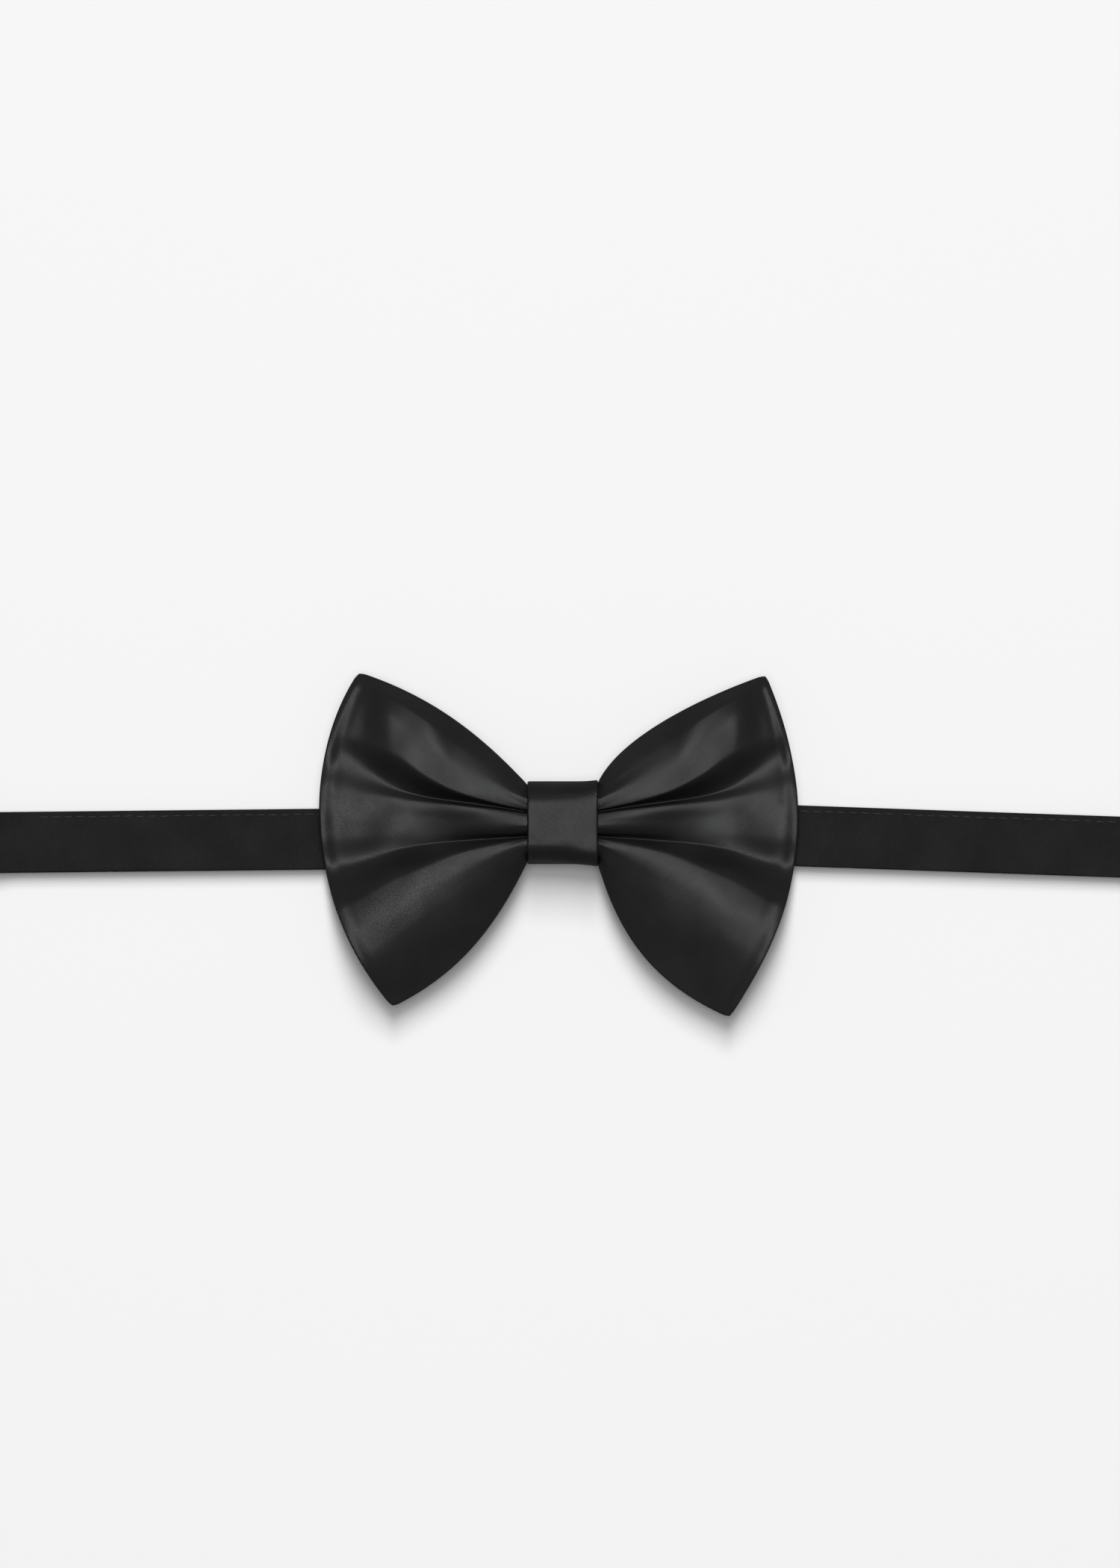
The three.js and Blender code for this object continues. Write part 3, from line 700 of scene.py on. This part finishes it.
def through_knot(end):
    """The band from the bow's middle to a distance past its landing."""
    ramp = np.linspace(STRAIGHT_HALF, LANDING, 32)
    height = KNOT_BAND_Z + (LIE - KNOT_BAND_Z) * smooth((ramp - STRAIGHT_HALF) / (LANDING - STRAIGHT_HALF))
    return [(0, KNOT_BAND_Z), *zip(ramp, height), (end, LIE)]


def stitch_row(name, ends, radius):
    """Short rounded threads, each from one point to another, as one mesh."""
    points, faces = [], []
    for a, b in ends:
        a, b = np.array(a, float), np.array(b, float)
        forward = (b - a) / np.linalg.norm(b - a)
        side = np.cross(forward, (0, 0, 1))
        side /= np.linalg.norm(side)
        up = np.cross(side, forward)
        first = len(points)
        for t, size in ((0, 0.35), (0.12, 0.85), (0.5, 1), (0.88, 0.85), (1, 0.35)):
            for k in range(6):
                turn = math.tau * k / 6
                dip = -0.5 * radius * (2 * t - 1) ** 2
                points.append(a + (b - a) * t + up * dip
                              + radius * size * (side * math.cos(turn) + up * math.sin(turn)))
        faces += [tuple(first + i for i in f) for f in tube_faces(5, 6)]
    obj = make_object(name, points, faces)
    outwards(obj)
    return obj


def band_stitches(name, side, start, end, height):
    """The row of stitches on the band's upper face; height gives the middle line's height."""
    ends = []
    at = start
    while at + STITCH_LONG < end:
        wander = random.uniform(-0.08, 0.08)
        pair = []
        for d, skew in ((at, 0.05), (at + STITCH_LONG, -0.05)):
            spot = place_on_band(side, np.array([d]), np.array([BAND_HALF - STITCH_IN + wander + skew]),
                                 np.array([height(d) + BAND_THICK / 2 - 0.02]))
            pair.append(spot[0])
        ends.append(pair)
        at += STITCH_PITCH
    return stitch_row(name, ends, STITCH_THREAD)


def bar_tack(name, side, start, height, long=1.4, half=5.5):
    """A dense zigzag of thread across the band."""
    ends = []
    count = 26
    for k in range(count):
        across = -half + 2 * half * k / (count - 1)
        shifts = np.array([0, long + random.uniform(-0.1, 0.1)])
        ends.append(place_on_band(side, start + shifts, across + shifts * 0.12, np.full(2, height)))
    return stitch_row(name, ends, TACK_THREAD)


random.seed(4)

# ------------------------------------------------------------------ the neck band
def landing_height(along):
    """Height of the band's middle, on either side, out to beyond the hook."""
    return float(np.interp(along, *np.array(through_knot(HOOK_BAR + 15)).T))


def upper_height(along):
    """Height of the loop's upper layer, which is the same all along."""
    return UPPER


left_line = [
    *through_knot(EYE_CLIMB), (EYE_CLIMB + 4, 0.6), (EYE_CLIMB + 8, UPPER),
    *fold_round(EYE_BAR), (EYE_BAR - 12, LIE),
]
band_left = strip("neck_band_left", "left", rounded(fine(left_line, 0.8)), WAVES, CHANNEL)
right_line = through_knot(FOLD_END)
band_right = strip("neck_band_right", "right", fine(right_line, 0.8), WAVES, CHANNEL)
run_line = [(FOLD_END, LIE), (SLIDER_IN, LIE)]
band_run = strip("neck_band_run", "right", fine(run_line, 0.8), WAVES, CHANNEL)

weave_line = [
    (SLIDER_IN, LIE), (SLIDER_BAR - 4.9, LIE), (SLIDER_BAR - 3.6, 0.75),
    *arc(SLIDER_BAR - 3.7, 1.9, 1.0, -45, 0), *arc(SLIDER_BAR - 2.0, 4.5, 0.7, 180, 90),
    *arc(SLIDER_BAR + 2.0, 4.5, 0.7, 90, 0), *arc(SLIDER_BAR + 3.8, 2.6, 1.1, 180, 270),
    (SLIDER_OUT, UPPER),
]
band_weave = strip("slider_weave", "right", rounded(fine(weave_line, 0.5)))
sewn_line = [
    (SLIDER_OUT, LIE), (SLIDER_BAR + 3.8, LIE), (SLIDER_BAR + 3, 0.65), (SLIDER_BAR + 2.1, 1.25),
    (SLIDER_BAR + 1.6, UPPER), *arc(SLIDER_BAR - 0.9, 2.2, 0.7, 270, 180),
    *arc(SLIDER_BAR - 0.9, 3.4, 0.7, 180, 90), *arc(SLIDER_BAR + 0.9, 3.4, 0.7, 90, 0),
    (SLIDER_BAR + 1.6, 2.4),
]
band_sewn = strip("sewn_end", "right", rounded(fine(sewn_line, 0.5)))
loop_line = [(SLIDER_OUT, UPPER), *fold_round(HOOK_BAR), (SLIDER_OUT, LIE)]
band_loop = strip("return_loop", "right", rounded(fine(loop_line, 0.8)), LOOP_WAVES, CHANNEL)

stitches_left = band_stitches("stitches_left", "left", STITCH_START, EYE_CLIMB - 1, landing_height)
stitches_right = band_stitches("stitches_right", "right", STITCH_START, FOLD_END, landing_height)
stitches_run = band_stitches("stitches_run", "right", FOLD_END + 0.5, SLIDER_IN, landing_height)
stitches_loop = band_stitches("stitches_loop", "right", SLIDER_OUT + 2, HOOK_BAR - 12, upper_height)
tack_eye = bar_tack("eye_tack", "left", EYE_BAR - 10.5, 2.1)
tack_slider = bar_tack("slider_tack", "right", SLIDER_BAR + 0.2, 0.75)

# Each stretch that bends or changes length: its cloth and stitches, its side, the bodies at its two
# ends, and where along the band it goes over from the first body to the second.
bends = (
    (band_left, stitches_left, "left", "neck_band", "left_side", FOLD_START, FOLD_END),
    (band_right, stitches_right, "right", "neck_band", "right_side", FOLD_START, FOLD_END),
    (band_run, stitches_run, "right", "right_side", "slider", FOLD_END, SLIDER_IN),
    (band_loop, stitches_loop, "right", "slider", "hook_loop", SLIDER_OUT, HOOK_BAR - 8),
)
for cloth, threads, side, near, far, start, end in bends:
    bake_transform(cloth)
    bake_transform(threads)
    dress(cloth, BAND_SATIN)
    dress(threads, THREAD)
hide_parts("band_left", "band_centre")
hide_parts("band_centre")
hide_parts("band_right_run")
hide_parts("band_return_loop")
dress(band_weave, BAND_SATIN, "slider", ["band_slider_weave"])
dress(band_sewn, BAND_SATIN, "slider", ["band_sewn_end"])
dress(tack_eye, THREAD, "left_side", ["eye_bar_tack"])
dress(tack_slider, THREAD, "slider", ["slider_bar_tack"])


# ------------------------------------------------------------------ the knot's wrap
def curve_through(points, steps=10):
    """A smooth line through every point (Catmull-Rom)."""
    p = np.array([points[0], *points, points[-1]], float)
    found = []
    for k in range(1, len(p) - 2):
        t = np.linspace(0, 1, steps, endpoint=False)[:, None]
        a, b, c, d = p[k - 1 : k + 3]
        found.append(0.5 * (2 * b + (c - a) * t + (2 * a - 5 * b + 4 * c - d) * t**2
                            + (3 * b - a - 3 * c + d) * t**3))
    return np.concatenate([*found, p[-1:]])


def knot_shape(x, y, z):
    """Pulls the straight wrap into its worn shape: waisted on top, slanting underneath."""
    front = smooth((z - 6) / 3)
    top = (9.9 + 0.0055 * (x + 3) ** 2) / KNOT_TALL_HALF
    low = (9.75 + 0.0045 * (x + 8) ** 2) / KNOT_TALL_HALF
    size = np.where(y > 0, top, low)
    y = y * (size * front + (1 - front))
    y = y + np.sign(y) * 0.9 * smooth(x / KNOT_HALF) * bump(np.abs(y), 6.9, 1.5) * front
    flat = smooth((z - 12) / 1.2)
    soft = np.array([noise.noise(Vector((a / 6, b / 6, 2))) for a, b in zip(x, y)])
    z = z + flat * (0.12 * (1 - (x / KNOT_HALF) ** 2) - 0.12 + 0.1 * soft)
    return x, y, z


wrap_line = curve_through([
    (-5, 1.65), (0, 1.65), (6.2, 1.65), (8.8, 2.8), (9.75, 5.2), (9.75, 8.4), (9.1, 10.6), (7.9, 12.15),
    (6.4, 12.85), (4.9, 13.15), (2, 13.15), (-2, 13.15), (-4.9, 13.15), (-6.4, 12.82), (-7.8, 11.9),
    (-9.1, 10.3), (-9.75, 7.8), (-9.75, 4.2), (-8.8, 1.6), (-6.2, 0.45), (0, 0.45), (5, 0.45),
])
_, wrap_out = line_frame(wrap_line)
wrap_section = strip_section(KNOT_HALF, WRAP_THICK, 40)
knot_points, knot_uvs = [], []
for (y, z), n, length in zip(wrap_line, wrap_out, length_along(wrap_line)):
    placed = knot_shape(wrap_section[:, 0], y + n[0] * wrap_section[:, 1], z + n[1] * wrap_section[:, 1])
    knot_points.append(np.column_stack(placed))
    knot_uvs.append(np.column_stack([-wrap_section[:, 0], np.full(len(wrap_section), -length)]))
knot_wrap = make_object("knot_wrap_cloth", np.concatenate(knot_points),
                        tube_faces(len(wrap_line), len(wrap_section)), np.concatenate(knot_uvs))
outwards(knot_wrap)
dress(knot_wrap, KNOT_SATIN, "bow", ["knot_wrap"])


# ------------------------------------------------------------------ the metal fittings
def round_wire(name, path, radius):
    """A closed loop of round wire along world points in millimetres."""
    curve = bpy.data.curves.new(name, "CURVE")
    curve.dimensions = "3D"
    line = curve.splines.new("POLY")
    line.points.add(len(path) - 1)
    for point, at in zip(line.points, path):
        point.co = (*(np.array(at) * MM), 1)
    line.use_cyclic_u = True
    curve.bevel_depth = radius * MM
    curve.bevel_resolution = 5
    return curve_mesh(name, curve)


def curve_mesh(name, curve):
    drawn = bpy.data.objects.new(name + "_curve", curve)
    bpy.context.scene.collection.objects.link(drawn)
    bpy.context.view_layer.update()
    mesh = bpy.data.meshes.new_from_object(drawn.evaluated_get(bpy.context.evaluated_depsgraph_get()))
    bpy.data.objects.remove(drawn)
    mesh.polygons.foreach_set("use_smooth", [True] * len(mesh.polygons))
    obj = bpy.data.objects.new(name, mesh)
    bpy.context.scene.collection.objects.link(obj)
    return obj


def frame_path(x0, x1, half, radius, steps=8):
    """A rounded rectangle, as its points' distances along the band and across it."""
    corners = (
        (x1 - radius, -half + radius, -90), (x1 - radius, half - radius, 0),
        (x0 + radius, half - radius, 90), (x0 + radius, -half + radius, 180),
    )
    return np.array([p for x, w, a in corners for p in arc(x, w, radius, a, a + 90, steps)]).T


def wire_frame(name, side, x0, x1):
    """A rounded frame of wire whose bars lie x0 and x1 along the band."""
    along, across = frame_path(x0, x1, FITTING_HALF - WIRE / 2, WIRE)
    return round_wire(name, place_on_band(side, along, across, np.full(len(along), BAR_Z)), WIRE / 2)


eye = wire_frame("eye_wire", "left", EYE_BAR, EYE_BAR + 7.4)
dress(eye, NICKEL, "eye", ["eye_ring"])

hook_frame = wire_frame("hook_wire", "right", HOOK_BAR, HOOK_BAR + 6)
dress(hook_frame, NICKEL, "hook", ["hook"])
tongue_line = fine([(HOOK_BAR + 6, BAR_Z), *arc(HOOK_BAR + 12.5, 3.7, 1.8, -90, 90, 16),
                    (HOOK_BAR + 9.5, 5.3), (HOOK_BAR + 7.9, 6.0)], 0.7)
_, tongue_out = line_frame(tongue_line)
tongue_section = strip_section(4.5, 1.2, 8)
tongue_across, tongue_lift = tongue_section.T
tongue_points = np.concatenate([
    place_on_band("right", d + n[0] * tongue_lift, tongue_across, z + n[1] * tongue_lift)
    for (d, z), n in zip(tongue_line, tongue_out)
])
tongue = make_object("hook_tongue", tongue_points, tube_faces(len(tongue_line), len(tongue_section)))
outwards(tongue)
dress(tongue, NICKEL, "hook", ["hook"])

plate_curve = bpy.data.curves.new("slider", "CURVE")
plate_curve.dimensions = "2D"
plate_curve.fill_mode = "BOTH"
for x0, x1, half, radius in (
    (-5.3, 5.3, FITTING_HALF, 1.4), (-3.7, -0.9, 8.1, 0.5), (0.9, 3.7, 8.1, 0.5)
):
    outline = plate_curve.splines.new("POLY")
    along, across = frame_path(SLIDER_BAR + x0, SLIDER_BAR + x1, half, radius)
    corners = place_on_band("right", along, across, np.zeros(len(along)))
    outline.points.add(len(corners) - 1)
    for point, at in zip(outline.points, corners):
        point.co = (at[0] * MM, at[1] * MM, 0, 1)
    outline.use_cyclic_u = True
plate_curve.extrude = 0.4 * MM
plate_curve.bevel_depth = 0.2 * MM
plate_curve.bevel_resolution = 2
plate_curve.offset = -0.2 * MM
slider = curve_mesh("slider_fitting", plate_curve)
slider.data.transform(Matrix.Translation((0, 0, 2.8 * MM)))
slider.data.polygons.foreach_set("use_smooth", [False] * len(slider.data.polygons))
dress(slider, NICKEL, "slider", ["slider_plate"])

# The pieces kept from the CAD, inside the knot.
for node_name, material, slot_name in (
    ("gather_thread", THREAD, "thread"), ("knot_pad", BACKING, "backing")
):
    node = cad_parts[node_name]
    node.data.materials.clear()
    node.data.materials.append(material)

# ------------------------------------------------------------------ floor, lights and camera
FLOOR_Z = -3 * MM

bpy.ops.mesh.primitive_plane_add(size=6, location=(0, 0, FLOOR_Z))
floor = bpy.context.object
floor.name = "floor"
paper, paper_tree, paper_surface = shader("white paper")
paper_surface.inputs["Base Color"].default_value = (0.9, 0.9, 0.9, 1)
paper_surface.inputs["Roughness"].default_value = 1.0
paper_surface.inputs["Specular IOR Level"].default_value = 0.0
# Seen from below, the paper lets the object be seen.
one_sided = add_node(paper_tree, "ShaderNodeMixShader")
from_below = add_node(paper_tree, "ShaderNodeNewGeometry")
clear = add_node(paper_tree, "ShaderNodeBsdfTransparent")
paper_tree.links.new(from_below.outputs["Backfacing"], one_sided.inputs[0])
paper_tree.links.new(paper_surface.outputs[0], one_sided.inputs[1])
paper_tree.links.new(clear.outputs[0], one_sided.inputs[2])
paper_tree.links.new(one_sided.outputs[0], paper_tree.nodes["Material Output"].inputs["Surface"])
floor.data.materials.append(paper)
floor.visible_glossy = False


def area_light(name, place, target, size, watts):
    lamp = bpy.data.lights.new(name, "AREA")
    lamp.shape = "RECTANGLE"
    lamp.size, lamp.size_y = size
    lamp.energy = watts
    obj = bpy.data.objects.new(name, lamp)
    bpy.context.scene.collection.objects.link(obj)
    obj.location = place
    obj.rotation_euler = (Vector(target) - Vector(place)).to_track_quat("-Z", "Y").to_euler()
    obj.visible_camera = False
    return obj


area_light("softbox", (0, 0.05, 2.4), (0, 0, 0), (0.9, 0.9), 16)
window = area_light("window", (0.0, 5.2, 7.9), (0, 0, 0), (2.0, 6.0), 735)
window.visible_glossy = False

world = bpy.data.worlds.new("room")
bpy.context.scene.world = world
world.use_nodes = True
world.node_tree.nodes["Background"].inputs["Color"].default_value = (1, 1, 1, 1)
world.node_tree.nodes["Background"].inputs["Strength"].default_value = 0.1

camera = bpy.data.cameras.new("camera")
camera.lens = 184.4
camera.sensor_width = 36
camera.clip_start = 0.05
camera_object = bpy.data.objects.new("camera", camera)
bpy.context.scene.collection.objects.link(camera_object)
camera_object.location = (-0.65 * MM, 9.6 * MM, 2.0)
bpy.context.scene.camera = camera_object
bpy.context.scene.view_settings.view_transform = "Standard"
